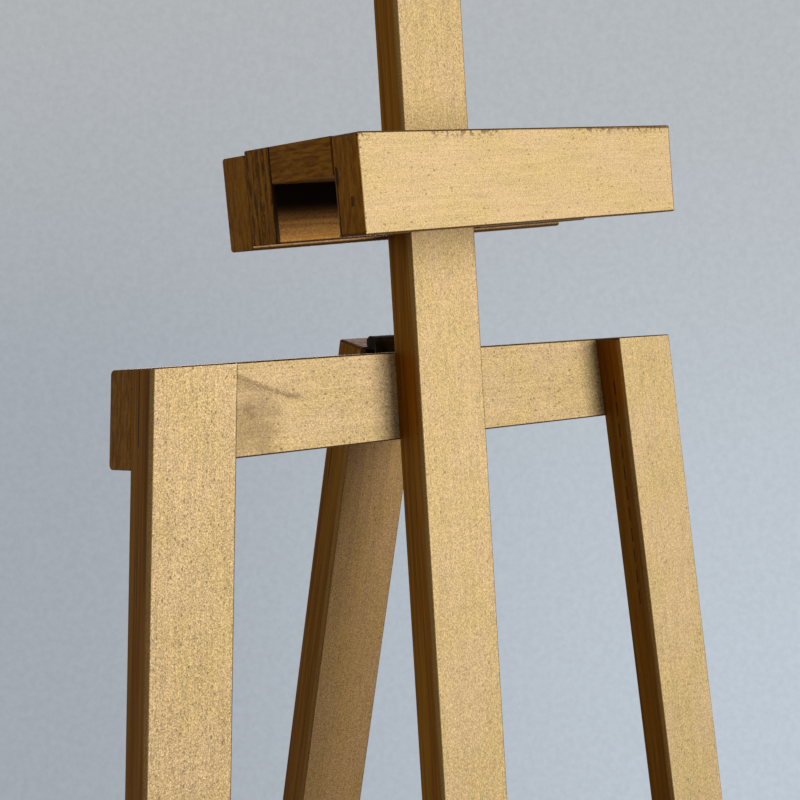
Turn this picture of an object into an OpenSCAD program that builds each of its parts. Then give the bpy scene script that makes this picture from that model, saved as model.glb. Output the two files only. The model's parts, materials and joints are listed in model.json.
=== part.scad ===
// Folding wooden display easel. Two splayed legs and a mast make the front frame, a rear leg
// hinges on its top crossbar, a fixed shelf carries the canvas and a clamp slides on the mast.
// Millimetres, Z up, front towards -Y. The origin is on the floor, in the middle of the footprint.

/* [Boards] */
// Width of the board stock
board_w = 40; // [34:1:52]
// Thickness of the board stock
board_t = 16; // [13:0.5:20]
// Radius that eases the long edges of every board
ease_r = 0.8; // [0.5:0.1:2.5]
// Radius of the corners of the legs' inner top ends, the rear leg and the clamp's front board
corner_r = 2; // [1:0.1:3]

/* [Front frame] */
// Height of the top crossbar's upper front edge above the floor
top_h = 1040; // [900:10:1300]
// Distance between the front legs' centre lines at the top crossbar's upper edge
leg_spacing = 277; // [220:1:360]
// Angle of each front leg away from the mast
splay = 5.6; // [3:0.1:8]
// Angle by which the front frame leans back
lean = 5.2; // [3:0.1:8]
// Radius that eases the crossbars' rear edges
bar_ease_r = 2.2; // [0.8:0.1:3]
// Drop from the top crossbar's upper edge to the lower crossbar's upper edge
bar_drop = 720; // [600:10:800]
// Length of the mast above the top crossbar's upper edge
mast_above = 620; // [400:10:800]
// Length of the mast below the lower crossbar
mast_tail = 20; // [5:1:60]
// Height of the rubber pad under each leg
foot_h = 3; // [2:0.5:6]
// Distance from a leg's edges to its rubber pad
foot_inset = 1.5; // [1:0.1:3]

/* [Rear leg and hinge] */
// Angle between the front frame and the opened rear leg
spread = 16.5; // [12:0.5:24]
// Length of the hinge along its pin
hinge_l = 34; // [28:1:34]
// Diameter of the hinge's barrel
barrel_d = 6.5; // [5:0.1:8]
// Diameter of the hinge's pin
pin_d = 3.6; // [2.5:0.1:4]
// Thickness of a hinge leaf
leaf_t = 1.2; // [0.8:0.1:1.6]
// Width of a hinge leaf from the pin's axis
leaf_w = 22; // [20:0.5:24]
// Height of the pin's axis above the top crossbar
pin_above = 4.8; // [3.5:0.1:6]
// Distance from the pin's axis down to the rear leg's top end
rear_top_gap = 2.9; // [1:0.1:5]

/* [Shelf] */
// Drop from the top crossbar's upper edge to the shelf's top face
shelf_drop = 430; // [300:10:520]
// Length of the shelf
shelf_l = 450; // [420:10:600]

/* [Canvas clamp] */
// Height of the clamp's middle above the top crossbar
clamp_y = 74; // [60:0.1:400]
// Length of the clamp's boards
clamp_l = 192.6; // [160:0.1:260]
// Tilt that the clamp takes up from the play of its guide
clamp_tilt = 3.5; // [0:0.1:4]
// Angle by which the clamp droops forwards from the play of its guide
clamp_pitch = 1.6; // [0:0.1:1.6]
// Thickness of the clamp's top board
cap_t = 15.5; // [13:0.5:20]
// Step by which the clamp's rear board sits below its top board
rear_step = 1.7; // [0:0.1:3]
// Radius that eases the long edges of the clamp's rear board
rear_ease_r = 1.4; // [0.5:0.1:2.5]
// Clearance between the mast and each face of its guide
guide_clear = 0.6; // [0.6:0.1:1]

/* [Clamp screw] */
// Diameter of the knob's threaded stud
stud_d = 8; // [6:1:8]
// Pitch of the stud's thread
stud_pitch = 1.25; // [1:0.25:1.5]
// Turns from clamped to loose
loose_turns = 2; // [1:1:2]
// Diameter across the knob's lobes
knob_d = 28; // [24:1:32]
// Thickness of the knob's lobed head
knob_h = 11; // [8:1:16]
// Diameter of the pad that presses on the mast
press_d = 14; // [12:1:18]
// Thickness of the pad that presses on the mast
press_t = 2.5; // [2:0.1:3]

/* [Fasteners] */
// Shank diameter of the frame's wood screws
screw_d = 4; // [3:0.5:4.5]
// Shank diameter of the hinge's screws
hinge_screw_d = 2.8; // [2:0.1:3]
// Diameter of the dowels
dowel_d = 8; // [6:1:8]
// Wire diameter of the screw eyes
eye_wire = 2.2; // [1.8:0.1:3]
// Inside diameter of the screw eyes
eye_bore = 7; // [5:0.5:9]

/* [Hidden] */
$fn = 64;
// Clearance of a screw, dowel or insert in its hole
hole_fit = 0.05;
// Clearance of the hinge pin and of the stud in its bore
turn_fit = 0.05;
// Gap between neighbouring knuckles
knuckle_gap = 0.3;
// Length that a fastener reaches into the second board
bite = 12;
// Gap that keeps the loose parts of the clamp screw off the wood
screw_gap = 0.4;
// Gap between the clamped pad and the mast
press_gap = 0.3;
// Wall of the threaded insert
insert_wall = 1.6;
// Length of the hub between the knob's head and the rear board
hub_l = 5;
// Gap between the clamped knob's hub and the rear board
hub_gap = 2;
// Edge length of the blocks that trim board ends
trim = 3000;
// Distance that a cut runs past the face it opens
past = 1;
// Cross recess of a screw, as shares of its shank's diameter
recess_l = 1.1;
recess_w = 0.2;
recess_h = 0.3;
// Number of lobes on the knob
lobes = 5;
// Wall of the knob's hub round the stud
hub_wall = 3.2;
// Length of a screw eye's neck between its ring and the wood
eye_neck = 3;
// Drop from the hinge pin's axis to its screws
hinge_screw_drop = 13.6;
// Distance from the shelf's ends to its outer screws, and between its screws
shelf_screw_inset = 30;
shelf_screw_step = 150;
// Distance from the shelf's ends to its outer dowels
shelf_dowel_inset = 22.5;
// Distances from the clamp's ends to its dowels
clamp_dowel_inset = 15;
clamp_dowel_step = 53.5;

barrel_r = barrel_d / 2;
knuckle_l = hinge_l / 3;
pin_axis_z = -board_t - barrel_r;
rear_tilt = spread - lean;
loose_travel = stud_pitch * loose_turns;

// Places along the mast, measured from the top crossbar's upper edge
mast_low = -bar_drop - board_w - mast_tail;
shelf_y = -shelf_drop;

// Depths in front of the front frame's joint plane
guide_front = board_t + guide_clear;
lip_back = guide_front + board_w;
lip_front = lip_back + board_t;
rear_board_z = -guide_clear - board_t;
shelf_lip_back = board_t + board_w;
shelf_lip_front = shelf_lip_back + board_t;

// The guide's slot is wide enough for the tilted clamp to clear the mast
slot_half = board_w / 2 * (1 / cos(clamp_tilt) + tan(clamp_tilt)) + guide_clear;
block_l = clamp_l / 2 - slot_half;

// Footprint, measured from the top crossbar's upper front edge
pin_h = top_h + pin_above * cos(lean) + pin_axis_z * sin(lean);
pin_y = pin_above * sin(lean) - pin_axis_z * cos(lean);
rear_depth = barrel_r + board_t;
rear_foot_s = (foot_h - pin_h - rear_depth * sin(rear_tilt)) / cos(rear_tilt);
foot_front_y = -(top_h - foot_h) * tan(lean) - board_t / cos(lean);
lip_low = shelf_y - board_t;
lip_front_y = (lip_low + ease_r) * sin(lean) - (shelf_lip_front - ease_r) * cos(lean) - ease_r;
front_y = min(foot_front_y, lip_front_y);
rear_y = pin_y - rear_foot_s * sin(rear_tilt) + rear_depth * cos(rear_tilt);
frame_y = -(front_y + rear_y) / 2;

// Half distance between the front legs' centre lines at a place along the mast
function leg_x(y) = leg_spacing / 2 - y * tan(splay);

// Screw places through a crossbar: two into each leg and two into the mast
function bar_points(top) = concat(
    [for (side = [-1, 1], row = [1, 3]) let (y = top - board_w * row / 4) [side * leg_x(y), y]],
    [for (side = [-1, 1]) [side * board_w / 4, top - board_w * 3 / 4]]
);
frame_points = concat(bar_points(0), bar_points(-bar_drop));

// Screw places through the legs and the mast into the shelf's rail
rail_mid = shelf_y - board_t - board_w / 2;
rail_points = concat(
    [for (side = [-1, 1], row = [-1, 1]) let (y = rail_mid + row * board_w / 4) [side * leg_x(y), y]],
    [for (row = [-1, 1]) [0, rail_mid + row * board_w / 4]]
);
// Two places on each side of the middle of a board, counted in from its ends
function in_from(l, inset, step) = [for (side = [-1, 1], row = [0, 1]) side * (l / 2 - inset - row * step)];

// Places along the shelf of the screws into its rail and of the dowels into its lip
shelf_screw_x = in_from(shelf_l, shelf_screw_inset, shelf_screw_step);
shelf_dowel_x = [for (row = [-2:2]) row * (shelf_l / 2 - shelf_dowel_inset) / 2];
// Places along the clamp of its fasteners
cap_mid = board_w / 2 - cap_t / 2;
block_mid = slot_half + block_l / 2;
cap_screw_x = [for (side = [-1, 1], step = [-1, 1]) side * (block_mid + step * block_l / 4)];
block_screw_x = [for (side = [-1, 1]) side * block_mid];
cap_screw_l = 2 * board_t + 2 * guide_clear + 2 * bite;
block_screw_l = board_t + bite;
cap_dowel_x = in_from(clamp_l, clamp_dowel_inset, clamp_dowel_step);
// Places along the pin of the hinge's screws
hinge_screw_x = [for (row = [-1:1]) row * knuckle_l];

// Threaded insert in the clamp's rear board, and the pocket in front of it that takes the pad
pocket_low = -press_gap - press_t - loose_travel - screw_gap;
insert_d = stud_d + 2 * insert_wall;
insert_l = pocket_low - rear_board_z;
// Places of the knob's hub and of the stud's rear end
knob_front = rear_board_z - hub_gap;
stud_low = knob_front - hub_l - knob_h / 2;

// Length of a screw eye's shank, and the distance from its ring's middle to the wood
eye_reach = eye_neck + bite;
eye_out = (eye_bore + eye_wire) / 2 + eye_neck;

// ---- Frames of reference ----

// Front frame: X across, Y up the mast, Z forwards from the plane between bars and legs
module in_frame() {
    translate([0, frame_y, top_h]) rotate([90 - lean, 0, 0]) children();
}

// A front leg's own centre line, in the front frame
module in_front_leg(side) {
    translate([side * leg_spacing / 2, 0, 0]) rotate([0, 0, side * splay]) children();
}

// Rear leg: Y up the leg from the hinge pin, Z forwards
module in_rear_leg() {
    in_frame() translate([0, pin_above, pin_axis_z]) rotate([spread, 0, 0]) children();
}

// Clamp: as the front frame, from the clamp's middle
module in_clamp() {
    in_frame() translate([0, clamp_y, 0]) rotate([clamp_pitch, 0, clamp_tilt]) children();
}

// ---- Shared shapes ----

// Board along Y from the origin, centred across X, with its thickness up from Z = 0
module board(l, w, t, r = ease_r) {
    translate([0, 0, t / 2]) rotate([-90, 0, 0]) linear_extrude(l) eased_section(w, t, r);
}

// The same board with rounded corners
module cornered_board(l, w, t) {
    intersection() {
        board(l, w, t);
        translate([0, l / 2, 0]) linear_extrude(t) eased_section(w, l, corner_r);
    }
}

// Board centred along X, from the origin down along -Y, with its thickness up from Z = 0
module bar(l, w, t, r = ease_r) {
    translate([-l / 2, -w / 2, 0]) rotate([0, 0, -90]) board(l, w, t, r);
}

// Rectangle with rounded corners
module eased_section(w, t, r) {
    square([w - 2 * r, t], center = true);
    square([w, t - 2 * r], center = true);
    for (x = [-1, 1], y = [-1, 1]) translate([x * (w / 2 - r), y * (t / 2 - r)]) circle(r = r);
}

// Countersunk wood screw: its flat head lies at Z = 0 and it points along Z
module wood_screw(d, l) {
    difference() {
        screw_body(d, l, 0);
        for (turn = [0, 90]) {
            rotate([0, 0, turn]) translate([-d * recess_l / 2, -d * recess_w / 2, -past]) {
                cube([d * recess_l, d * recess_w, past + d * recess_h]);
            }
        }
    }
}

module screw_body(d, l, fit) {
    cylinder(h = d / 2, r1 = d + fit, r2 = d / 2 + fit);
    cylinder(h = l - d, r = d / 2 + fit);
    translate([0, 0, l - d]) cylinder(h = d + fit, r1 = d / 2 + fit, r2 = d / 8 + fit);
}

// Screw eye: the ring's middle is at the origin and its shank points along -Z
module screw_eye() {
    ring_r = (eye_bore + eye_wire) / 2;
    rotate([90, 0, 0]) rotate_extrude() translate([ring_r, 0]) circle(d = eye_wire);
    translate([0, 0, -ring_r - eye_reach]) cylinder(h = eye_reach, d = eye_wire);
}

// Rubber pad that stands on the floor
module foot_pad() {
    w = board_w - 2 * foot_inset;
    t = board_t - 2 * foot_inset;
    color("dimgray") linear_extrude(foot_h) eased_section(w, t, t / 4);
}

// Everything below the top of the foot pads
module below_wood() {
    translate([-trim / 2, -trim / 2, foot_h - trim]) cube(trim);
}

// ---- Holes that pieces share ----

module frame_holes() {
    for (p = frame_points) translate([p.x, p.y, -board_t]) screw_body(screw_d, board_t + bite, hole_fit);
}

module rail_holes() {
    for (p = rail_points) translate([p.x, p.y, 0]) screw_body(screw_d, board_t + bite, hole_fit);
}

module hinge_points() {
    for (x = hinge_screw_x) translate([x, -hinge_screw_drop, 0]) children();
}

module hinge_frame_holes() {
    translate([0, pin_above, -board_t - leaf_t]) hinge_points() screw_body(hinge_screw_d, bite, hole_fit);
}

module hinge_leg_holes() {
    translate([0, 0, leaf_t - barrel_r]) hinge_points() rotate([180, 0, 0]) {
        screw_body(hinge_screw_d, bite, hole_fit);
    }
}

module shelf_points() {
    for (x = shelf_screw_x) translate([x, shelf_y, board_t * 1.5]) rotate([90, 0, 0]) children();
}

module shelf_dowel_set(fit) {
    for (x = shelf_dowel_x) {
        translate([x, shelf_y - board_t / 2, shelf_lip_back - bite - fit]) {
            cylinder(h = 2 * (bite + fit), d = dowel_d + 2 * fit);
        }
    }
}

module clamp_points() {
    for (x = cap_screw_x) translate([x, cap_mid, rear_board_z]) children(0);
    for (x = block_screw_x) translate([x, -board_w / 4, rear_board_z]) children(1);
}

module clamp_holes() {
    clamp_points() {
        screw_body(screw_d, cap_screw_l, hole_fit);
        screw_body(screw_d, block_screw_l, hole_fit);
    }
}

module clamp_dowel_set(fit) {
    for (x = cap_dowel_x) {
        translate([x, cap_mid, lip_back - bite - fit]) cylinder(h = 2 * (bite + fit), d = dowel_d + 2 * fit);
    }
}

// ---- Front frame ----

module front_leg(side) {
    reach = top_h / cos(splay) / cos(lean) + board_w;
    inner_top = board_w / 2 * tan(splay);
    color("goldenrod") difference() {
        in_frame() difference() {
            in_front_leg(side) translate([0, -reach, 0]) cornered_board(reach + inner_top, board_w, board_t);
            translate([-trim / 2, 0, -trim / 2]) cube(trim);
            frame_holes();
            rail_holes();
        }
        below_wood();
    }
}

module left_front_leg() {
    front_leg(-1);
}

module right_front_leg() {
    front_leg(1);
}

module mast() {
    color("goldenrod") in_frame() difference() {
        translate([0, mast_low, 0]) board(mast_above - mast_low, board_w, board_t);
        frame_holes();
        rail_holes();
    }
}

// Crossbar with its ends cut along the legs' outer sides, less its children
module crossbar(drop) {
    reach = 2 * leg_x(-drop - board_w) + 2 * board_w;
    color("goldenrod") in_frame() difference() {
        translate([0, -drop, -board_t]) intersection() {
            bar(reach, board_w, board_t);
            bar(reach, board_w, 2 * board_t, bar_ease_r);
        }
        for (side = [-1, 1]) {
            in_front_leg(side) translate([side * (board_w + trim) / 2, 0, 0]) cube(trim, center = true);
        }
        frame_holes();
        children();
    }
}

module top_crossbar() {
    crossbar(0) hinge_frame_holes();
}

module lower_crossbar() {
    crossbar(bar_drop) frame_eye() screw_eye_hole();
}

module frame_screws() {
    color("silver") in_frame() {
        for (p = frame_points) translate([p.x, p.y, -board_t]) wood_screw(screw_d, board_t + bite);
    }
}

module foot_at(side) {
    s = (foot_h - top_h - board_t / 2 * sin(lean)) / cos(lean);
    translate([side * leg_x(s), frame_y + s * sin(lean) - board_t / 2 * cos(lean), 0]) foot_pad();
}

module left_foot_pad() {
    foot_at(-1);
}

module right_foot_pad() {
    foot_at(1);
}

// ---- Shelf ----

module shelf_rail() {
    color("goldenrod") in_frame() difference() {
        translate([0, shelf_y - board_t, board_t]) bar(shelf_l, board_w, board_t);
        rail_holes();
        shelf_points() screw_body(screw_d, board_t + 2 * bite, hole_fit);
    }
}

module shelf_board() {
    color("goldenrod") in_frame() difference() {
        translate([0, shelf_y, board_t]) bar(shelf_l, board_t, board_w);
        shelf_points() screw_body(screw_d, board_t + 2 * bite, hole_fit);
        shelf_dowel_set(hole_fit);
    }
}

module shelf_lip() {
    color("goldenrod") in_frame() difference() {
        translate([0, lip_low + board_w, shelf_lip_back]) bar(shelf_l, board_w, board_t);
        shelf_dowel_set(hole_fit);
    }
}

module shelf_screws() {
    color("silver") in_frame() {
        for (p = rail_points) translate([p.x, p.y, 0]) wood_screw(screw_d, board_t + bite);
        shelf_points() wood_screw(screw_d, board_t + 2 * bite);
    }
}

module shelf_dowels() {
    color("burlywood") in_frame() shelf_dowel_set(0);
}

// ---- Hinge ----

// Leaf in the plane that touches the barrel's front, with the barrel's axis at the origin
module leaf_plate() {
    translate([-hinge_l / 2, -leaf_w, barrel_r - leaf_t]) cube([hinge_l, leaf_w, leaf_t]);
}

// Space for the other leaf's knuckle, from x to x + l along the pin
module knuckle_space(x, l) {
    reach = barrel_r + knuckle_gap;
    translate([x, -reach, -reach]) cube([l, 2 * reach, 2 * reach]);
}

module knuckle(x, l) {
    translate([x, 0, 0]) rotate([0, 90, 0]) cylinder(h = l, r = barrel_r);
}

module pin_bore() {
    translate([-hinge_l, 0, 0]) rotate([0, 90, 0]) cylinder(h = 2 * hinge_l, d = pin_d + 2 * turn_fit);
}

// Leaf on the crossbar, with the two outer knuckles
module hinge_frame_leaf() {
    color("saddlebrown") in_frame() difference() {
        translate([0, pin_above, pin_axis_z]) difference() {
            union() {
                difference() {
                    leaf_plate();
                    knuckle_space(-knuckle_l / 2 - knuckle_gap, knuckle_l + 2 * knuckle_gap);
                }
                knuckle(-hinge_l / 2, knuckle_l - knuckle_gap);
                knuckle(knuckle_l / 2 + knuckle_gap, knuckle_l - knuckle_gap);
            }
            pin_bore();
        }
        hinge_frame_holes();
    }
}

// Leaf on the rear leg, with the middle knuckle
module hinge_leg_leaf() {
    color("saddlebrown") in_rear_leg() difference() {
        union() {
            difference() {
                mirror([0, 0, 1]) leaf_plate();
                knuckle_space(-hinge_l / 2 - knuckle_gap, knuckle_l + knuckle_gap);
                knuckle_space(knuckle_l / 2, knuckle_l + knuckle_gap);
            }
            knuckle(-knuckle_l / 2, knuckle_l);
        }
        pin_bore();
        hinge_leg_holes();
    }
}

module hinge_pin() {
    color("dimgray") in_frame() translate([-hinge_l / 2, pin_above, pin_axis_z]) {
        rotate([0, 90, 0]) cylinder(h = hinge_l, d = pin_d);
    }
}

module hinge_frame_screws() {
    color("silver") in_frame() translate([0, pin_above, -board_t - leaf_t]) hinge_points() {
        wood_screw(hinge_screw_d, bite);
    }
}

module hinge_leg_screws() {
    color("silver") in_rear_leg() translate([0, 0, leaf_t - barrel_r]) hinge_points() {
        rotate([180, 0, 0]) wood_screw(hinge_screw_d, bite);
    }
}

// ---- Rear leg ----

module back_leg() {
    reach = pin_h / cos(rear_tilt) + board_w;
    color("goldenrod") difference() {
        in_rear_leg() difference() {
            translate([0, -reach, -rear_depth]) cornered_board(reach - rear_top_gap, board_w, board_t);
            hinge_leg_holes();
            leg_eye() screw_eye_hole();
        }
        below_wood();
    }
}

module back_foot_pad() {
    depth = barrel_r + board_t / 2;
    s = (foot_h - pin_h - depth * sin(rear_tilt)) / cos(rear_tilt);
    translate([0, frame_y + pin_y - s * sin(rear_tilt) + depth * cos(rear_tilt), 0]) foot_pad();
}

// ---- Eyes for the stay cord ----

module screw_eye_hole() {
    translate([0, 0, -eye_out - bite - hole_fit]) cylinder(h = bite + hole_fit, d = eye_wire + 2 * hole_fit);
}

// Under the lower crossbar, behind the mast
module frame_eye() {
    translate([0, -bar_drop - board_w - eye_out, -board_t / 2]) rotate([90, 0, 0]) children();
}

// On the rear leg's front face, below the level of the lower crossbar
module leg_eye() {
    translate([0, -bar_drop - 2 * board_w, eye_out - barrel_r]) children();
}

module frame_cord_eye() {
    color("silver") in_frame() frame_eye() screw_eye();
}

module leg_cord_eye() {
    color("silver") in_rear_leg() leg_eye() screw_eye();
}

// ---- Canvas clamp ----

module clamp_front_board() {
    color("goldenrod") in_clamp() difference() {
        translate([-clamp_l / 2, 0, lip_back]) rotate([0, 0, -90]) cornered_board(clamp_l, board_w, board_t);
        clamp_dowel_set(hole_fit);
    }
}

module clamp_top_board() {
    color("goldenrod") in_clamp() difference() {
        translate([0, board_w / 2, guide_front]) bar(clamp_l, cap_t, board_w);
        clamp_dowel_set(hole_fit);
        clamp_holes();
    }
}

module clamp_block(side) {
    block_t = board_t + 2 * guide_clear;
    color("goldenrod") in_clamp() difference() {
        translate([side * block_mid, board_w / 2, -guide_clear]) bar(block_l, board_w, block_t);
        clamp_holes();
    }
}

module clamp_left_block() {
    clamp_block(-1);
}

module clamp_right_block() {
    clamp_block(1);
}

module clamp_rear_board() {
    color("goldenrod") in_clamp() difference() {
        translate([0, board_w / 2 - rear_step, rear_board_z]) {
            bar(clamp_l, board_w, board_t, rear_ease_r);
        }
        clamp_holes();
        translate([0, 0, pocket_low]) cylinder(h = board_t, d = press_d + 2 * screw_gap);
        translate([0, 0, rear_board_z - past]) cylinder(h = board_t, d = insert_d + 2 * hole_fit);
    }
}

module clamp_screws() {
    color("silver") in_clamp() clamp_points() {
        wood_screw(screw_d, cap_screw_l);
        wood_screw(screw_d, block_screw_l);
    }
}

module clamp_dowels() {
    color("burlywood") in_clamp() clamp_dowel_set(0);
}

module clamp_insert() {
    color("gold") in_clamp() translate([0, 0, rear_board_z]) difference() {
        cylinder(h = insert_l, d = insert_d);
        translate([0, 0, -past]) cylinder(h = insert_l + 2 * past, d = stud_d + 2 * turn_fit);
    }
}

module clamp_press_pad() {
    color("silver") in_clamp() translate([0, 0, -press_gap - press_t]) cylinder(h = press_t, d = press_d);
}

module clamp_stud() {
    color("silver") in_clamp() translate([0, 0, stud_low]) {
        cylinder(h = -press_gap - press_t - stud_low, d = stud_d);
    }
}

// Lobed knob on a round hub
module clamp_knob() {
    lobe_r = knob_d / 6;
    lobe_out = knob_d / 2 - lobe_r;
    color("dimgray") in_clamp() translate([0, 0, knob_front - hub_l - knob_h]) difference() {
        union() {
            linear_extrude(knob_h) {
                circle(r = lobe_out);
                for (lobe = [1:lobes]) {
                    rotate((lobe + 0.25) * 360 / lobes) translate([lobe_out, 0]) circle(r = lobe_r);
                }
            }
            translate([0, 0, knob_h / 2]) cylinder(h = knob_h / 2 + hub_l, r = stud_d / 2 + hub_wall);
        }
        translate([0, 0, knob_h / 2]) cylinder(h = knob_h + hub_l, d = stud_d + 2 * hole_fit);
    }
}

left_front_leg();
right_front_leg();
mast();
top_crossbar();
lower_crossbar();
frame_screws();
shelf_rail();
shelf_board();
shelf_lip();
shelf_screws();
shelf_dowels();
left_foot_pad();
right_foot_pad();
hinge_frame_leaf();
hinge_pin();
hinge_frame_screws();
frame_cord_eye();
back_leg();
hinge_leg_leaf();
hinge_leg_screws();
back_foot_pad();
leg_cord_eye();
clamp_front_board();
clamp_top_board();
clamp_left_block();
clamp_right_block();
clamp_rear_board();
clamp_screws();
clamp_dowels();
clamp_insert();
clamp_press_pad();
clamp_knob();
clamp_stud();
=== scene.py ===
"""Folding wooden easel, painted metallic gold: looks, light and camera. Metres, in the row frame."""

import json
import math

import bmesh
import bpy
from mathutils import Matrix, Vector

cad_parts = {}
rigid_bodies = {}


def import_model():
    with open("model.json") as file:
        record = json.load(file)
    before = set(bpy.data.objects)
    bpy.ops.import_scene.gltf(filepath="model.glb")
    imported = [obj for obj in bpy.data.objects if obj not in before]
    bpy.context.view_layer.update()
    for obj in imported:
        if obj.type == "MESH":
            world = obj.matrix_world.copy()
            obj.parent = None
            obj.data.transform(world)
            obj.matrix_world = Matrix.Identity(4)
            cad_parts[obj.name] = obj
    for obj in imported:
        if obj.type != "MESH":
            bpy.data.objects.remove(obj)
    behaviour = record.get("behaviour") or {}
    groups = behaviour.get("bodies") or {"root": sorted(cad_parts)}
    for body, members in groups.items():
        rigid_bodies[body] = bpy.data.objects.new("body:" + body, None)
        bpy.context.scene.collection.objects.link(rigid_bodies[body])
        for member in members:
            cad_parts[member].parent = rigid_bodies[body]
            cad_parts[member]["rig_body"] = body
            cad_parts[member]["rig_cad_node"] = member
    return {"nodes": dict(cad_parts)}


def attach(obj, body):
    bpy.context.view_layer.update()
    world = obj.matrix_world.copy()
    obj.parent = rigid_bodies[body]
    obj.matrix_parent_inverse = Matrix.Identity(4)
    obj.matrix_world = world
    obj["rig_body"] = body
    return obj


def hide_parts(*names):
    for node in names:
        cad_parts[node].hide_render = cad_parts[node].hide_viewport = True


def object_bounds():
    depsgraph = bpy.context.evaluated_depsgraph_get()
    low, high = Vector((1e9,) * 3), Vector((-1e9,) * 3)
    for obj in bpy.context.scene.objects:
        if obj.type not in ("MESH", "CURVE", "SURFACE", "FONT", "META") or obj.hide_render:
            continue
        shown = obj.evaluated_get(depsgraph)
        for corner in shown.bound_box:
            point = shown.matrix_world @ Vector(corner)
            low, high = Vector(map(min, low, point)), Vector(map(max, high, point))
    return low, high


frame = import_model()
CAD_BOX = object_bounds()

MM = 0.001
MM_IN_METRE = 1000

# ---- Directions of the easel's parts ----

LEAN = math.radians(5.2)
SPLAY = math.radians(5.6)
SPREAD = math.radians(16.5)
CLAMP_TILT = math.radians(3.5)
CLAMP_PITCH = math.radians(1.6)

X = Vector((1, 0, 0))
UP = Vector((0, math.sin(LEAN), math.cos(LEAN)))
FRONT = Vector((0, -math.cos(LEAN), math.sin(LEAN)))


def turned(vector, axis, angle):
    return Matrix.Rotation(angle, 3, axis) @ vector


def in_clamp(vector):
    return turned(turned(vector, X, CLAMP_PITCH), FRONT, CLAMP_TILT)


def grain(along, across):
    """Rows across, along and through a board, as a right-handed frame."""
    return (across, along, across.cross(along))


BOARDS = {
    "left_front_leg": grain(turned(UP, FRONT, -SPLAY), turned(X, FRONT, -SPLAY)),
    "right_front_leg": grain(turned(UP, FRONT, SPLAY), turned(X, FRONT, SPLAY)),
    "mast": grain(UP, X),
    "top_crossbar": grain(X, -UP),
    "lower_crossbar": grain(X, -UP),
    "shelf_rail": grain(X, -UP),
    "shelf_board": grain(X, FRONT),
    "shelf_lip": grain(X, -UP),
    "back_leg": grain(turned(UP, X, SPREAD), X),
    "clamp_front_board": grain(in_clamp(X), in_clamp(-UP)),
    "clamp_top_board": grain(in_clamp(X), in_clamp(FRONT)),
    "clamp_left_block": grain(in_clamp(X), in_clamp(-UP)),
    "clamp_right_block": grain(in_clamp(X), in_clamp(-UP)),
    "clamp_rear_board": grain(in_clamp(X), in_clamp(-UP)),
}


def extents(obj, axes):
    """Middle and half sizes of a mesh along three axes."""
    spans = []
    for axis in axes:
        along = [v.co.dot(axis) for v in obj.data.vertices]
        spans.append((min(along), max(along)))
    middle = sum((axis * (lo + hi) / 2 for axis, (lo, hi) in zip(axes, spans)), Vector())
    return middle, [(hi - lo) / 2 for lo, hi in spans]


# ---- Node tree helper ----


class Tree:
    """Short calls for building a node tree. Numbers and sockets may be mixed as inputs."""

    def __init__(self, tree):
        self.tree = tree

    def node(self, kind, inputs=None, **settings):
        made = self.tree.nodes.new(kind)
        for name, value in settings.items():
            setattr(made, name, value)
        for key, value in (inputs or {}).items():
            self.set(made.inputs[key], value)
        return made

    def set(self, socket, value):
        if isinstance(value, bpy.types.NodeSocket):
            self.tree.links.new(value, socket)
        elif hasattr(socket.default_value, "__len__") and len(socket.default_value) == 4:
            socket.default_value = (*value[:3], 1.0)
        else:
            socket.default_value = value

    def math(self, operation, a, b=0.0):
        return self.node("ShaderNodeMath", {0: a, 1: b}, operation=operation).outputs[0]

    def add(self, a, b):
        return self.math("ADD", a, b)

    def less(self, a, b):
        return self.math("SUBTRACT", a, b)

    def times(self, a, b):
        return self.math("MULTIPLY", a, b)

    def over(self, a, b):
        return self.math("DIVIDE", a, b)

    def most(self, a, b):
        return self.math("MAXIMUM", a, b)

    def size(self, a):
        return self.math("ABSOLUTE", a)

    def around(self, noise, gain):
        """A noise made to swing evenly about zero, times a gain."""
        return self.times(self.less(noise, 0.5), gain)

    def vector(self, operation, a, b=(0, 0, 0)):
        made = self.node("ShaderNodeVectorMath", {0: a, 1: b}, operation=operation)
        return made.outputs["Value"] if operation in ("LENGTH", "DOT_PRODUCT") else made.outputs[0]

    def join(self, x, y, z=0.0):
        return self.node("ShaderNodeCombineXYZ", {0: x, 1: y, 2: z}).outputs[0]

    def split(self, vector):
        made = self.node("ShaderNodeSeparateXYZ", {0: vector})
        return made.outputs[0], made.outputs[1], made.outputs[2]

    def noise(self, vector, scale=1.0, detail=2.0, roughness=0.5, distortion=0.0):
        inputs = {"Vector": vector, "Scale": scale, "Detail": detail}
        inputs.update({"Roughness": roughness, "Distortion": distortion})
        return self.node("ShaderNodeTexNoise", inputs).outputs[0]

    def ramp(self, value, low, high, out_low=0.0, out_high=1.0):
        made = self.node(
            "ShaderNodeMapRange",
            {"Value": value, "From Min": low, "From Max": high, "To Min": out_low, "To Max": out_high},
            interpolation_type="SMOOTHSTEP",
        )
        return made.outputs[0]

    def mix(self, factor, a, b, blend="MIX"):
        made = self.node("ShaderNodeMix", data_type="RGBA", blend_type=blend, clamp_factor=True)
        self.set(made.inputs[0], factor)
        self.set(made.inputs[6], a)
        self.set(made.inputs[7], b)
        return made.outputs[2]

    def blend(self, factor, a, b):
        made = self.node("ShaderNodeMix", data_type="FLOAT", clamp_factor=True)
        self.set(made.inputs[0], factor)
        self.set(made.inputs[2], a)
        self.set(made.inputs[3], b)
        return made.outputs[0]

    def scaled(self, colour, factor):
        """Colour times a number, which may be over 1."""
        return self.mix(1.0, colour, self.join(factor, factor, factor), "MULTIPLY")

    def bump(self, height, strength, distance):
        inputs = {"Height": height, "Strength": strength, "Distance": distance}
        return self.node("ShaderNodeBump", inputs).outputs[0]


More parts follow.
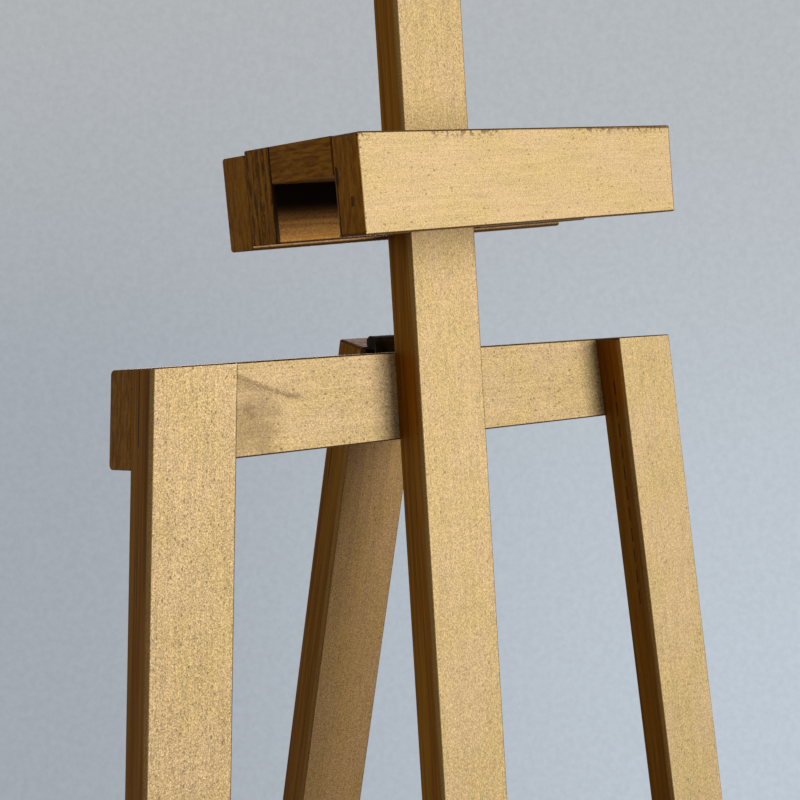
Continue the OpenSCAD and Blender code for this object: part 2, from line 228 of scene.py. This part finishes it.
def new_material(name):
    material = bpy.data.materials.new(name)
    material.use_nodes = True
    return material, material.node_tree.nodes["Principled BSDF"]


# ---- Painted boards ----

GOLD_YELLOW = (0.645, 0.468, 0.200)
GOLD_PINK = (0.64, 0.455, 0.230)
GOLD_DEEP = (0.43, 0.28, 0.118)
# Pale gold, for worn paint at the board's ends and for the highlight painted on the left rims.
GOLD_WEAR_AND_HIGHLIGHT = (0.78, 0.62, 0.38)
OLIVE = (0.42, 0.25, 0.08)
BROWN = (0.33, 0.130, 0.008)
MAROON = (0.225, 0.073, 0.006)
SEAM = (0.035, 0.016, 0.008)
PORE = (0.25, 0.13, 0.035)

SEED_STEP = (37.0, 53.0, 19.0)
SPECK_SHAPE = (1.0, 0.62, 1.0)
SPECK_CHANCE = 0.5
GOLD_METALLIC = 0.32
PAINT_RELIEF = 0.2 * MM

# tone is the brightness of the gold, and gilt and back_gilt are its shares on the front and rear
# wide faces. sparkle is the strength of its mottle, specks that of the brown specks, and wear the
# share of worn patches near the edges. stained is the brightness of the brown faces, and capped the
# share of pale wear at the board's ends. rings is the strength of the growth rings there, and
# ring_pitch their spacing.
# Places and sizes are in millimetres from the board's middle. A knot is a place and half sizes
# along and across the board. A mark is a dark box: its middle and half sizes across, along and
# through the board, and its strength. A chip is a worn stretch of the upper edge: its middle and
# half length. The last setting is two places across the board: painted shade, as in a recess,
# darkens the wide faces from the second place to the first.
PLAIN_LOOK = dict(
    tone=1.0, gilt=1.0, back_gilt=0.7, sparkle=1.0, specks=1.0, wear=0.5, stained=1.0, capped=0.0,
    rings=0.5, ring_pitch=2.6, knots=(), marks=(), chips=(), painted_recess_shade=None,
)
DASHES = 11
DASH_PITCH = 11.0
LOOKS = {
    "left_front_leg": dict(seed=1, stained=0.92, capped=0.7, wear=0.6, sparkle=1.32, marks=[
        ((-20.0, 506.0, -2.2), (2.0, 15.0, 0.16), 1.0),
        ((-20.0, 466.0, -2.2), (2.0, 22.0, 0.08), 0.5),
        ((-20.0, 480.0, 3.6), (2.0, 45.0, 0.06), 0.4),
    ]),
    "right_front_leg": dict(seed=2, tone=0.95, sparkle=0.85, stained=0.85, capped=0.4, marks=[
        ((-20.0, 500.0 - DASH_PITCH * dash, 1.0), (2.0, 3.5, 0.2), 0.8) for dash in range(DASHES)
    ]),
    "mast": dict(seed=3, specks=0.7),
    "top_crossbar": dict(seed=4, tone=0.95, rings=0.2, knots=[((-104.0, 6.0), (18.0, 13.0))]),
    "lower_crossbar": dict(seed=5),
    "shelf_rail": dict(seed=6),
    "shelf_board": dict(seed=7),
    "shelf_lip": dict(seed=8),
    # The back leg's gold is browner (less gilt), and its lower tone is painted shade.
    "back_leg": dict(seed=9, tone=0.90, gilt=0.55, stained=0.85),
    "clamp_front_board": dict(
        seed=10, wear=1.0, rings=0.1, specks=0.7, sparkle=0.75,
        chips=[(-93.0, 2.0), (-37.0, 16.0), (62.0, 26.0)],
        marks=[
            ((6.0, -96.3, -6.2), (13.5, 3.0, 0.25), 0.9),
            ((-3.5, -96.3, -5.9), (3.5, 3.0, 0.6), 0.9),
            ((6.5, -96.3, 2.3), (1.8, 3.0, 0.8), 0.7),
        ],
    ),
    "clamp_top_board": dict(seed=11, back_gilt=0.15, rings=0.35),
    # The blocks' wide faces inside the clamp's channel carry painted shade, darkest towards the top.
    "clamp_left_block": dict(
        seed=12, gilt=0.2, sparkle=1.3, painted_recess_shade=(3.5, 14.0), rings=0.8, ring_pitch=3.6,
        marks=[
            ((0.0, -37.2, 8.6), (20.0, 1.5, 0.5), 0.95),
            ((0.0, -37.2, -8.6), (20.0, 1.5, 0.4), 0.95),
        ],
    ),
    "clamp_right_block": dict(seed=13, gilt=0.6, painted_recess_shade=(3.5, 14.0), rings=0.7),
    "clamp_rear_board": dict(seed=14, gilt=0.5, rings=0.1),
}


class BoardPaint(Tree):
    """Gold paint over brown-stained wood. It works in millimetres along the board's own axes."""

    def __init__(self, name, node, axes, seed, **look):
        self.material, self.shader = new_material(name)
        super().__init__(self.material.node_tree)
        self.look = {**PLAIN_LOOK, **look}
        self.find_place(node, axes)
        self.find_faces(level=abs(axes[1].x) > 0.9)
        self.make_noises(seed)
        self.speck = self.all_specks()
        self.shade = self.gold_shade()
        self.dark = self.all_marks()
        self.paint()

    def find_place(self, node, axes):
        """The place on the board, from its middle, and the way the surface faces."""
        middle, half = extents(node, axes)
        self.half = [size * MM_IN_METRE for size in half]
        turn = Matrix(axes)
        coords = self.node("ShaderNodeTexCoord")
        at = self.node("ShaderNodeMapping", {"Vector": coords.outputs["Object"]}, vector_type="POINT")
        at.inputs["Scale"].default_value = (MM_IN_METRE, MM_IN_METRE, MM_IN_METRE)
        at.inputs["Rotation"].default_value = turn.to_euler("XYZ")
        at.inputs["Location"].default_value = turn @ middle * -MM_IN_METRE
        facing = self.node("ShaderNodeMapping", {"Vector": coords.outputs["Normal"]}, vector_type="VECTOR")
        facing.inputs["Rotation"].default_value = turn.to_euler("XYZ")
        self.place = at.outputs[0]
        self.across, self.along, self.through = self.split(self.place)
        self.edge_gap = self.less(self.half[0], self.size(self.across))
        self.end_gap = self.less(self.half[1], self.size(self.along))
        self.signed_x, self.signed_y, self.nz = self.split(facing.outputs[0])
        self.nx = self.size(self.signed_x)
        self.ny = self.size(self.signed_y)

    def find_faces(self, level):
        """How far a point belongs to the ends, to the narrow sides, and to the rims between faces. The
        left rims of upright boards carry a painted highlight.
        """
        dark_side = self.nx if level else self.signed_x
        upper_end = self.ramp(self.signed_y, 0.05, 0.25)
        self.end = self.most(self.ramp(self.ny, 0.2, 0.7), upper_end)
        self.side = self.most(self.ramp(self.nx, 0.5, 0.85), self.ramp(dark_side, 0.01, 0.16, 0.0, 0.92))
        outline = self.most(self.ramp(dark_side, 0.02, 0.2), upper_end)
        flatness = self.most(self.nx, self.ny)
        self.outline = self.times(outline, self.ramp(flatness, 0.8, 0.97, 0.65, 0.0))
        # The left rims of upright boards: a pale painted highlight next to the front face, then olive
        # paint.
        left_rim = self.ramp(self.signed_x, -0.25, -0.03, 0.0 if level else 1.0, 0.0)
        self.rim_with_highlight = self.times(self.ramp(self.nx, 0.5, 0.8, 1.0, 0.0), left_rim)

    def make_noises(self, seed):
        """The noises that several faces share. Their three scales are in waves per millimetre."""
        self.shifted = self.vector("ADD", self.place, tuple(step * seed for step in SEED_STEP))
        self.cloud = self.stretched(0.05, 0.03, 0.05, 3.0)
        self.streak = self.stretched(0.45, 0.02, 0.45, 4.0, 0.6)
        self.mottle = self.stretched(1.0, 0.8, 1.0, 1.0, 0.5, 1.2)
        self.flake = self.stretched(1.9, 1.5, 1.9, 1.0)
        self.fine_grain = self.stretched(2.2, 0.05, 2.2, 2.0)
        self.long_grain = self.stretched(0.55, 0.008, 0.55, 4.0, 0.6)
        self.wobble = self.stretched(0.5, 0.35, 0.5, 2.0)
        self.shake = self.join(
            self.around(self.wobble, 1.6), self.around(self.flake, 0.8), self.around(self.wobble, -1.1)
        )

    def stretched(self, x, y, z, detail=2.0, roughness=0.5, distortion=0.0):
        place = self.vector("MULTIPLY", self.shifted, (x, y, z))
        return self.noise(place, 1.0, detail, roughness, distortion)

    def specked(self, density, radius):
        """Sparse small round specks: about 1 where there is a speck."""
        place = self.vector("ADD", self.vector("MULTIPLY", self.shifted, SPECK_SHAPE), self.shake)
        place = self.vector("ADD", place, (5.0, 1.0, 9.0))
        cells = self.node("ShaderNodeTexVoronoi", {"Vector": place, "Scale": density})
        chance, size, _ = self.split(cells.outputs["Color"])
        reach = self.times(self.add(size, 0.45), radius * density)
        reach = self.times(reach, self.math("LESS_THAN", chance, SPECK_CHANCE))
        return self.ramp(self.less(reach, cells.outputs["Distance"]), 0.0, 0.16 * density)

    def all_specks(self):
        """Brown specks all over, more where the paint is worn near the edges, chips and knots."""
        near_edge = self.ramp(self.math("MINIMUM", self.edge_gap, self.end_gap), 0.6, 4.0, 1.0, 0.0)
        patch = self.ramp(self.stretched(0.07, 0.045, 0.07, 2.0), 0.5, 0.62, 0.0, self.look["wear"])
        speck = self.times(self.specked(0.55, 0.40), 0.6 * self.look["specks"])
        speck = self.most(speck, self.times(self.specked(1.1, 0.34), self.times(near_edge, patch)))
        for middle, reach in self.look["chips"]:
            speck = self.most(speck, self.chip(middle, reach))
        for middle, half in self.look["knots"]:
            speck = self.most(speck, self.knot(middle, half))
        return speck

    def chip(self, middle, reach):
        """Paint flaked off along a stretch of the upper edge."""
        gap = self.size(self.less(self.along, middle))
        stretch = self.ramp(self.add(self.across, self.half[0]), 0.8, 4.5, 1.0, 0.0)
        stretch = self.times(stretch, self.ramp(gap, reach, reach + 8.0, 0.85, 0.0))
        chipped = self.ramp(self.stretched(0.5, 0.38, 0.5, 2.0, 0.6), 0.50, 0.58)
        return self.times(chipped, stretch)

    def knot(self, middle, half):
        """A knot under the paint: a dark heart, a fainter patch round it, and a line that fans out."""
        u = self.less(self.add(self.along, self.around(self.wobble, 3.0)), middle[0])
        v = self.less(self.add(self.across, self.around(self.flake, 1.6)), middle[1])
        u, v = self.over(u, half[0]), self.over(v, half[1])
        ragged = self.around(self.stretched(0.14, 0.09, 0.14, 4.0, 0.65), 2.2)
        rough = self.ramp(self.mottle, 0.3, 0.6, 0.85, 0.45)
        heart = self.times(self.blot(u, v, ragged, (0.05, -0.3), (0.34, 0.46), 0.2), rough)
        faint = self.times(self.blot(u, v, ragged, (0.0, 0.1), (1.0, 1.2), 0.5), 0.38)
        below = self.less(v, self.ramp(u, -0.7, 1.6, -1.6, -0.75))
        line_gap = self.size(self.add(below, self.around(self.mottle, 0.35)))
        line = self.ramp(line_gap, 0.02, 0.13, 0.6, 0.0)
        fan = self.times(self.ramp(below, -0.06, 0.06), self.ramp(below, 0.0, 0.7, 0.5, 0.0))
        uneven = self.times(self.ramp(u, 0.1, 1.1, 1.0, 0.0), self.ramp(self.mottle, 0.3, 0.6, 1.1, 0.6))
        line = self.most(line, self.times(fan, uneven))
        line = self.times(line, self.ramp(u, -0.6, -0.3))
        line = self.times(line, self.ramp(u, 1.5, 1.7, 1.0, 0.0))
        return self.most(line, self.most(heart, faint))

    def blot(self, u, v, ragged, middle, reach, core):
        """An uneven oval blotch, in shares of the knot's half sizes."""
        du = self.over(self.less(u, middle[0]), reach[0])
        dv = self.over(self.less(v, middle[1]), reach[1])
        distance = self.vector("LENGTH", self.join(du, dv))
        return self.ramp(self.add(distance, ragged), core, 1.3, 1.0, 0.0)

    def all_marks(self):
        """Dark marks, such as seams and dents, with slightly uneven outlines."""
        moved = self.vector("ADD", self.place, self.vector("MULTIPLY", self.shake, (0.5, 0.5, 0.5)))
        places = self.split(moved)
        dark = 0.0
        for middle, half, strength in self.look["marks"]:
            shape = strength
            for place, centre, reach in zip(places, middle, half):
                gap = self.size(self.less(place, centre))
                shape = self.times(shape, self.ramp(gap, reach, reach + 0.35, 1.0, 0.0))
            dark = self.most(dark, shape)
        return dark

    def gold_shade(self):
        """Brightness of the gold: clouds, streaks along the grain, and a fine sparkle."""
        sparkle = self.look["sparkle"]
        shade = self.add(self.around(self.cloud, 0.16), self.look["tone"])
        shade = self.add(shade, self.around(self.streak, 0.3))
        shade = self.add(shade, self.around(self.fine_grain, 0.45 * sparkle))
        return self.add(shade, self.around(self.flake, 1.5 * sparkle))

    def gold(self):
        """Wide faces: yellow and pinkish patches with a mottle, brown specks, pale worn ends, and a pale
        painted highlight on the left rims.
        """
        mottle = self.ramp(self.mottle, 0.36, 0.62, 0.62 * self.look["sparkle"], 0.0)
        gold = self.mix(self.ramp(self.cloud, 0.38, 0.62), GOLD_YELLOW, GOLD_PINK)
        gold = self.mix(mottle, self.scaled(gold, 1.16), GOLD_DEEP)
        gold = self.mix(self.speck, self.scaled(gold, self.shade), PORE)
        uneven_end = self.add(self.end_gap, self.around(self.cloud, 4.0))
        pale = self.ramp(uneven_end, 0.5, 2.6, self.look["capped"], 0.0)
        gold = self.mix(pale, gold, self.scaled(GOLD_WEAR_AND_HIGHLIGHT, self.shade))
        # Painted highlight: the left rim turns pale next to the front face, and olive further round.
        highlight_and_olive = self.mix(self.ramp(self.nx, 0.2, 0.35), GOLD_WEAR_AND_HIGHLIGHT, OLIVE)
        return self.mix(self.rim_with_highlight, gold, self.scaled(highlight_and_olive, self.shade))

    def stain(self):
        """Brown stain with long streaks and dark lines."""
        line_grain = self.stretched(0.9, 0.012, 0.9, 2.0, 0.5)
        stain = self.mix(self.ramp(self.long_grain, 0.30, 0.70), MAROON, BROWN)
        shade = self.add(self.around(self.flake, 0.3), self.look["stained"])
        stain = self.scaled(stain, self.add(self.around(self.fine_grain, 0.5), shade))
        return self.mix(self.ramp(line_grain, 0.26, 0.34, 0.6, 0.0), stain, SEAM)

    def growth_rings(self):
        """Strength of the growth rings on the board's ends."""
        bowed = self.math("POWER", self.times(self.across, 0.016), 2.0)
        wave = self.times(self.stretched(0.10, 0.10, 0.35, 3.0, 0.6), 2.2)
        ring = self.add(self.over(self.through, self.look["ring_pitch"]), self.add(bowed, wave))
        return self.ramp(self.math("SINE", self.times(ring, 2 * math.pi)), 0.0, 0.95)

    def paint(self):
        look = self.look
        stain = self.stain()
        front_gap = self.less(self.half[2], self.through)
        drift = self.add(front_gap, self.around(self.streak, 2.2))
        dusted = self.times(self.ramp(drift, 1.6, 3.4, 0.6 * look["gilt"], 0.0), self.side)
        narrow = self.mix(dusted, stain, self.scaled(OLIVE, self.shade))
        share = self.ramp(self.nz, -0.3, 0.3, look["back_gilt"], look["gilt"])
        wide = self.mix(share, self.scaled(stain, 1.1), self.gold())
        # Painted shade: the wide faces darken across the board, as deep inside the clamp's channel.
        if look["painted_recess_shade"]:
            wide = self.scaled(wide, self.ramp(self.across, *look["painted_recess_shade"], 0.04, 1.0))

        ring = self.growth_rings()
        end_grain = self.stretched(0.12, 1.0, 0.7, 3.0, 0.6)
        ends = self.mix(self.ramp(end_grain, 0.36, 0.64), MAROON, BROWN)
        ends = self.scaled(ends, self.add(self.around(self.flake, 0.5), look["stained"]))
        ends = self.mix(self.times(ring, look["rings"]), ends, self.scaled(ends, 0.3))

        colour = self.mix(self.end, self.mix(self.side, wide, narrow), ends)
        colour = self.mix(self.outline, colour, SEAM)
        self.set(self.shader.inputs["Base Color"], self.mix(self.dark, colour, SEAM))

        bare = self.most(self.most(self.side, self.end), self.less(1.0, share))
        gloss = self.add(0.56, self.around(self.mottle, 0.5))
        gloss = self.blend(bare, gloss, self.ramp(self.long_grain, 0.3, 0.7, 0.58, 0.46))
        self.set(self.shader.inputs["Roughness"], gloss)
        metallic = self.less(GOLD_METALLIC, self.times(self.speck, 0.3))
        metallic = self.blend(bare, metallic, 1.0)
        metallic = self.blend(self.rim_with_highlight, metallic, self.ramp(self.nx, 0.2, 0.4, 0.2, 0.9))
        self.set(self.shader.inputs["Metallic"], metallic)
        self.shader.inputs["IOR"].default_value = 1.5
        self.shader.inputs["Specular IOR Level"].default_value = 0.4

        relief = self.add(self.times(self.mottle, 0.5), self.times(self.streak, 0.4))
        relief = self.less(relief, self.times(self.speck, 0.5))
        rough_side = self.add(self.long_grain, self.times(self.fine_grain, 0.3))
        relief = self.blend(self.side, relief, rough_side)
        rough_end = self.less(end_grain, self.times(ring, look["rings"] * 0.5))
        relief = self.less(self.blend(self.end, relief, rough_end), self.dark)
        self.set(self.shader.inputs["Normal"], self.bump(relief, 0.5, PAINT_RELIEF))


# ---- Softened edges ----

MERGE_GAP = 0.004 * MM
FLAT_ANGLE = math.radians(0.6)
SMOOTH_ANGLE = math.radians(38.0)
END_ZONE = 12 * MM
BOARD_SOFTENING = 0.55 * MM
FRONT_BOARD_SOFTENING = 1.3 * MM
PAD_SOFTENING = 0.5 * MM
KNOB_SOFTENING = 1.0 * MM


def softened(node, name, chosen, offset, segments=4):
    """A copy of a CAD node with chosen edges rounded. It stands for the node."""
    bm = bmesh.new()
    bm.from_mesh(node.data)
    bmesh.ops.remove_doubles(bm, verts=bm.verts, dist=MERGE_GAP)
    bmesh.ops.dissolve_limit(bm, angle_limit=FLAT_ANGLE, verts=bm.verts, edges=bm.edges)
    bm.normal_update()
    edges = [e for e in bm.edges if len(e.link_faces) == 2 and chosen(e)]
    if edges:
        bmesh.ops.bevel(
            bm, geom=edges, offset=offset, offset_type="OFFSET", segments=segments,
            profile=0.5, affect="EDGES", clamp_overlap=False,
        )
    for e in bm.edges:
        e.smooth = len(e.link_faces) == 2 and e.calc_face_angle(0.0) < SMOOTH_ANGLE
    for f in bm.faces:
        f.smooth = True
    mesh = bpy.data.meshes.new(name)
    bm.to_mesh(mesh)
    bm.free()
    piece = bpy.data.objects.new(name, mesh)
    bpy.context.scene.collection.objects.link(piece)
    weighted = piece.modifiers.new("normals", "WEIGHTED_NORMAL")
    weighted.keep_sharp = True
    weighted.weight = 80
    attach(piece, node["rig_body"])
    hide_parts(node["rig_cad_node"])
    return piece


def end_edges(node, axes):
    """Chooses the edges round a board's two ends."""
    middle, half = extents(node, axes)
    along = axes[1]

    def chosen(edge):
        a, b = edge.link_faces
        if abs(a.normal.dot(along)) < 0.9 and abs(b.normal.dot(along)) < 0.9:
            return False
        if edge.calc_face_angle(0.0) < math.radians(60):
            return False
        centre = (edge.verts[0].co + edge.verts[1].co) / 2
        return abs((centre - middle).dot(along)) > half[1] - END_ZONE

    return chosen


def is_sharp(edge):
    return edge.calc_face_angle(0.0) > math.radians(50)


for name, axes in BOARDS.items():
    node = frame["nodes"][name]
    softening = FRONT_BOARD_SOFTENING if name == "clamp_front_board" else BOARD_SOFTENING
    piece = softened(node, name + "_board", end_edges(node, axes), softening)
    piece.data.materials.append(BoardPaint(name + "_paint", node, axes, **LOOKS[name]).material)

# ---- Hardware ----


def gritty(name, colour, dark, roughness, metallic=1.0, scale=900.0, bump=0.25):
    """A surface of one colour with darker clouds and a fine grit."""
    material, shader = new_material(name)
    t = Tree(material.node_tree)
    at = t.node("ShaderNodeTexCoord").outputs["Object"]
    cloud = t.noise(at, scale * 0.15, 3.0)
    grit = t.noise(at, scale, 3.0, 0.6)
    colour = t.mix(t.ramp(cloud, 0.35, 0.65), colour, dark)
    colour = t.scaled(colour, t.ramp(grit, 0.3, 0.7, 0.8, 1.15))
    t.set(shader.inputs["Base Color"], colour)
    t.set(shader.inputs["Roughness"], t.ramp(grit, 0.3, 0.7, roughness - 0.08, roughness + 0.12))
    shader.inputs["Metallic"].default_value = metallic
    t.set(shader.inputs["Normal"], t.bump(grit, bump, 0.05 * MM))
    return material


zinc = gritty("zinc_plate", (0.62, 0.61, 0.58), (0.42, 0.41, 0.38), 0.34)
hinge_metal = gritty("hinge_patina", (0.045, 0.030, 0.018), (0.018, 0.012, 0.008), 0.42)
brass = gritty("turned_brass", (0.66, 0.48, 0.20), (0.48, 0.33, 0.12), 0.3)
rubber = gritty("foot_rubber", (0.045, 0.044, 0.042), (0.028, 0.027, 0.026), 0.72, 0.0, 1400.0, 0.5)
plastic = gritty("knob_plastic", (0.035, 0.034, 0.033), (0.025, 0.024, 0.024), 0.42, 0.0, 1600.0, 0.35)
beech = gritty("bare_beech", (0.62, 0.46, 0.28), (0.52, 0.36, 0.20), 0.6, 0.0, 500.0, 0.4)

FINISH = {
    zinc: ["frame_screws", "shelf_screws", "clamp_screws", "hinge_frame_screws", "hinge_leg_screws",
           "frame_cord_eye", "leg_cord_eye", "clamp_stud", "clamp_press_pad"],
    hinge_metal: ["hinge_frame_leaf", "hinge_leg_leaf", "hinge_pin"],
    brass: ["clamp_insert"],
    beech: ["shelf_dowels", "clamp_dowels"],
}
for material, names in FINISH.items():
    for name in names:
        node = frame["nodes"][name]
        node.data.materials.clear()
        node.data.materials.append(material)

for name in ("left_foot_pad", "right_foot_pad", "back_foot_pad"):
    piece = softened(frame["nodes"][name], name + "_rubber", is_sharp, PAD_SOFTENING, 3)
    piece.data.materials.append(rubber)
knob = softened(frame["nodes"]["clamp_knob"], "clamp_knob_grip", is_sharp, KNOB_SOFTENING)
knob.data.materials.append(plastic)

# ---- Floor ----

FLOOR_RADIUS = 0.9
FLOOR_DARK = (0.60, 0.62, 0.64)
FLOOR_PALE = (0.66, 0.68, 0.70)


def add_floor():
    centre = (CAD_BOX[0] + CAD_BOX[1]) / 2
    bpy.ops.mesh.primitive_circle_add(
        vertices=96, radius=FLOOR_RADIUS, fill_type="NGON", location=(centre.x, centre.y, 0)
    )
    floor = bpy.context.object
    floor.name = "floor"
    material, shader = new_material("pale_floor")
    t = Tree(material.node_tree)
    grit = t.noise(t.node("ShaderNodeTexCoord").outputs["Object"], 60.0, 4.0, 0.6)
    t.set(shader.inputs["Base Color"], t.mix(grit, FLOOR_DARK, FLOOR_PALE))
    shader.inputs["Roughness"].default_value = 0.8
    shader.inputs["Specular IOR Level"].default_value = 0.2
    floor.data.materials.append(material)


# ---- Room ----

WALL_LOW_LEFT = (0.362, 0.396, 0.437)
WALL_HIGH_LEFT = (0.430, 0.453, 0.470)
WALL_LOW_RIGHT = (0.530, 0.592, 0.660)
WALL_HIGH_RIGHT = (0.462, 0.490, 0.513)
AMBIENT = (0.92, 0.98, 1.0)
AMBIENT_FRONT = 0.19
AMBIENT_BEHIND = 0.22


def add_room():
    """The camera sees a plastered wall, glossy rays see part of it, and the rest a dim, even light."""
    world = bpy.data.worlds.new("room")
    bpy.context.scene.world = world
    world.use_nodes = True
    t = Tree(world.node_tree)
    rays = t.node("ShaderNodeLightPath")
    direction = t.node("ShaderNodeTexCoord").outputs["Generated"]

    def towards(x, y, z):
        return t.vector("DOT_PRODUCT", direction, (x, y, z))

    upward = towards(0.0, 0.0, 1.0)
    left = t.mix(t.ramp(upward, -0.14, 0.16), WALL_LOW_LEFT, WALL_HIGH_LEFT)
    right = t.mix(t.ramp(upward, -0.30, 0.16), WALL_LOW_RIGHT, WALL_HIGH_RIGHT)
    wall = t.mix(t.ramp(towards(0.94, -0.34, 0.0), 0.10, 0.62), left, right)
    plaster = t.noise(direction, 260.0, 3.0, 0.6)
    wall = t.scaled(wall, t.ramp(plaster, 0.2, 0.8, 0.955, 1.045))

    behind = t.ramp(towards(0.0, 1.0, 0.0), -0.25, 0.35)
    ambient = t.scaled(AMBIENT, t.blend(behind, AMBIENT_FRONT, AMBIENT_BEHIND))
    wall_share = t.ramp(towards(-0.35, 0.94, 0.0), -0.75, -0.1, 0.12, 0.85)
    shown = t.mix(rays.outputs["Is Glossy Ray"], ambient, t.mix(wall_share, ambient, wall))
    seen = t.most(rays.outputs["Is Camera Ray"], rays.outputs["Is Transmission Ray"])
    background = world.node_tree.nodes["Background"]
    t.set(background.inputs["Color"], t.mix(seen, shown, wall))
    background.inputs["Strength"].default_value = 1.0


# ---- Light and camera ----

CLAMP_PLACE = Vector((0, -0.1, 1.08))
LIGHT_DISTANCE = 2.5
CAMERA_PLACE = (-0.480755, -0.586584, 1.091151)
CAMERA_DOWN = 6.015
CAMERA_RIGHT = 41.81
CAMERA_LENS = 68.8


def add_window(name, azimuth, elevation, size, watts, colour):
    """A soft square light that looks at the clamp. Azimuth 0 is in front, and 90 is to the right."""
    a, e = math.radians(azimuth), math.radians(elevation)
    away = Vector((math.sin(a) * math.cos(e), -math.cos(a) * math.cos(e), math.sin(e)))
    light = bpy.data.lights.new(name, "AREA")
    light.shape = "RECTANGLE"
    light.size, light.size_y = size, size
    light.energy = watts
    light.color = colour
    lamp = bpy.data.objects.new(name, light)
    lamp.location = CLAMP_PLACE + away * LIGHT_DISTANCE
    lamp.rotation_mode = "QUATERNION"
    lamp.rotation_quaternion = away.to_track_quat("Z", "Y")
    bpy.context.scene.collection.objects.link(lamp)


def add_camera():
    cam = bpy.data.cameras.new("camera")
    cam.lens = CAMERA_LENS
    cam.sensor_width = 36
    cam.clip_start, cam.clip_end = 0.01, 50
    camera = bpy.data.objects.new("camera", cam)
    camera.location = CAMERA_PLACE
    camera.rotation_euler = (math.radians(90 - CAMERA_DOWN), 0, math.radians(-CAMERA_RIGHT))
    bpy.context.scene.collection.objects.link(camera)
    bpy.context.scene.camera = camera


add_floor()
add_room()
add_window("window_light", 28, 5, 1.75, 48, (1.0, 0.985, 0.965))
add_window("back_light", 155, 6, 1.6, 22, (0.95, 0.98, 1.0))
add_camera()
bpy.context.scene.view_settings.view_transform = "Standard"
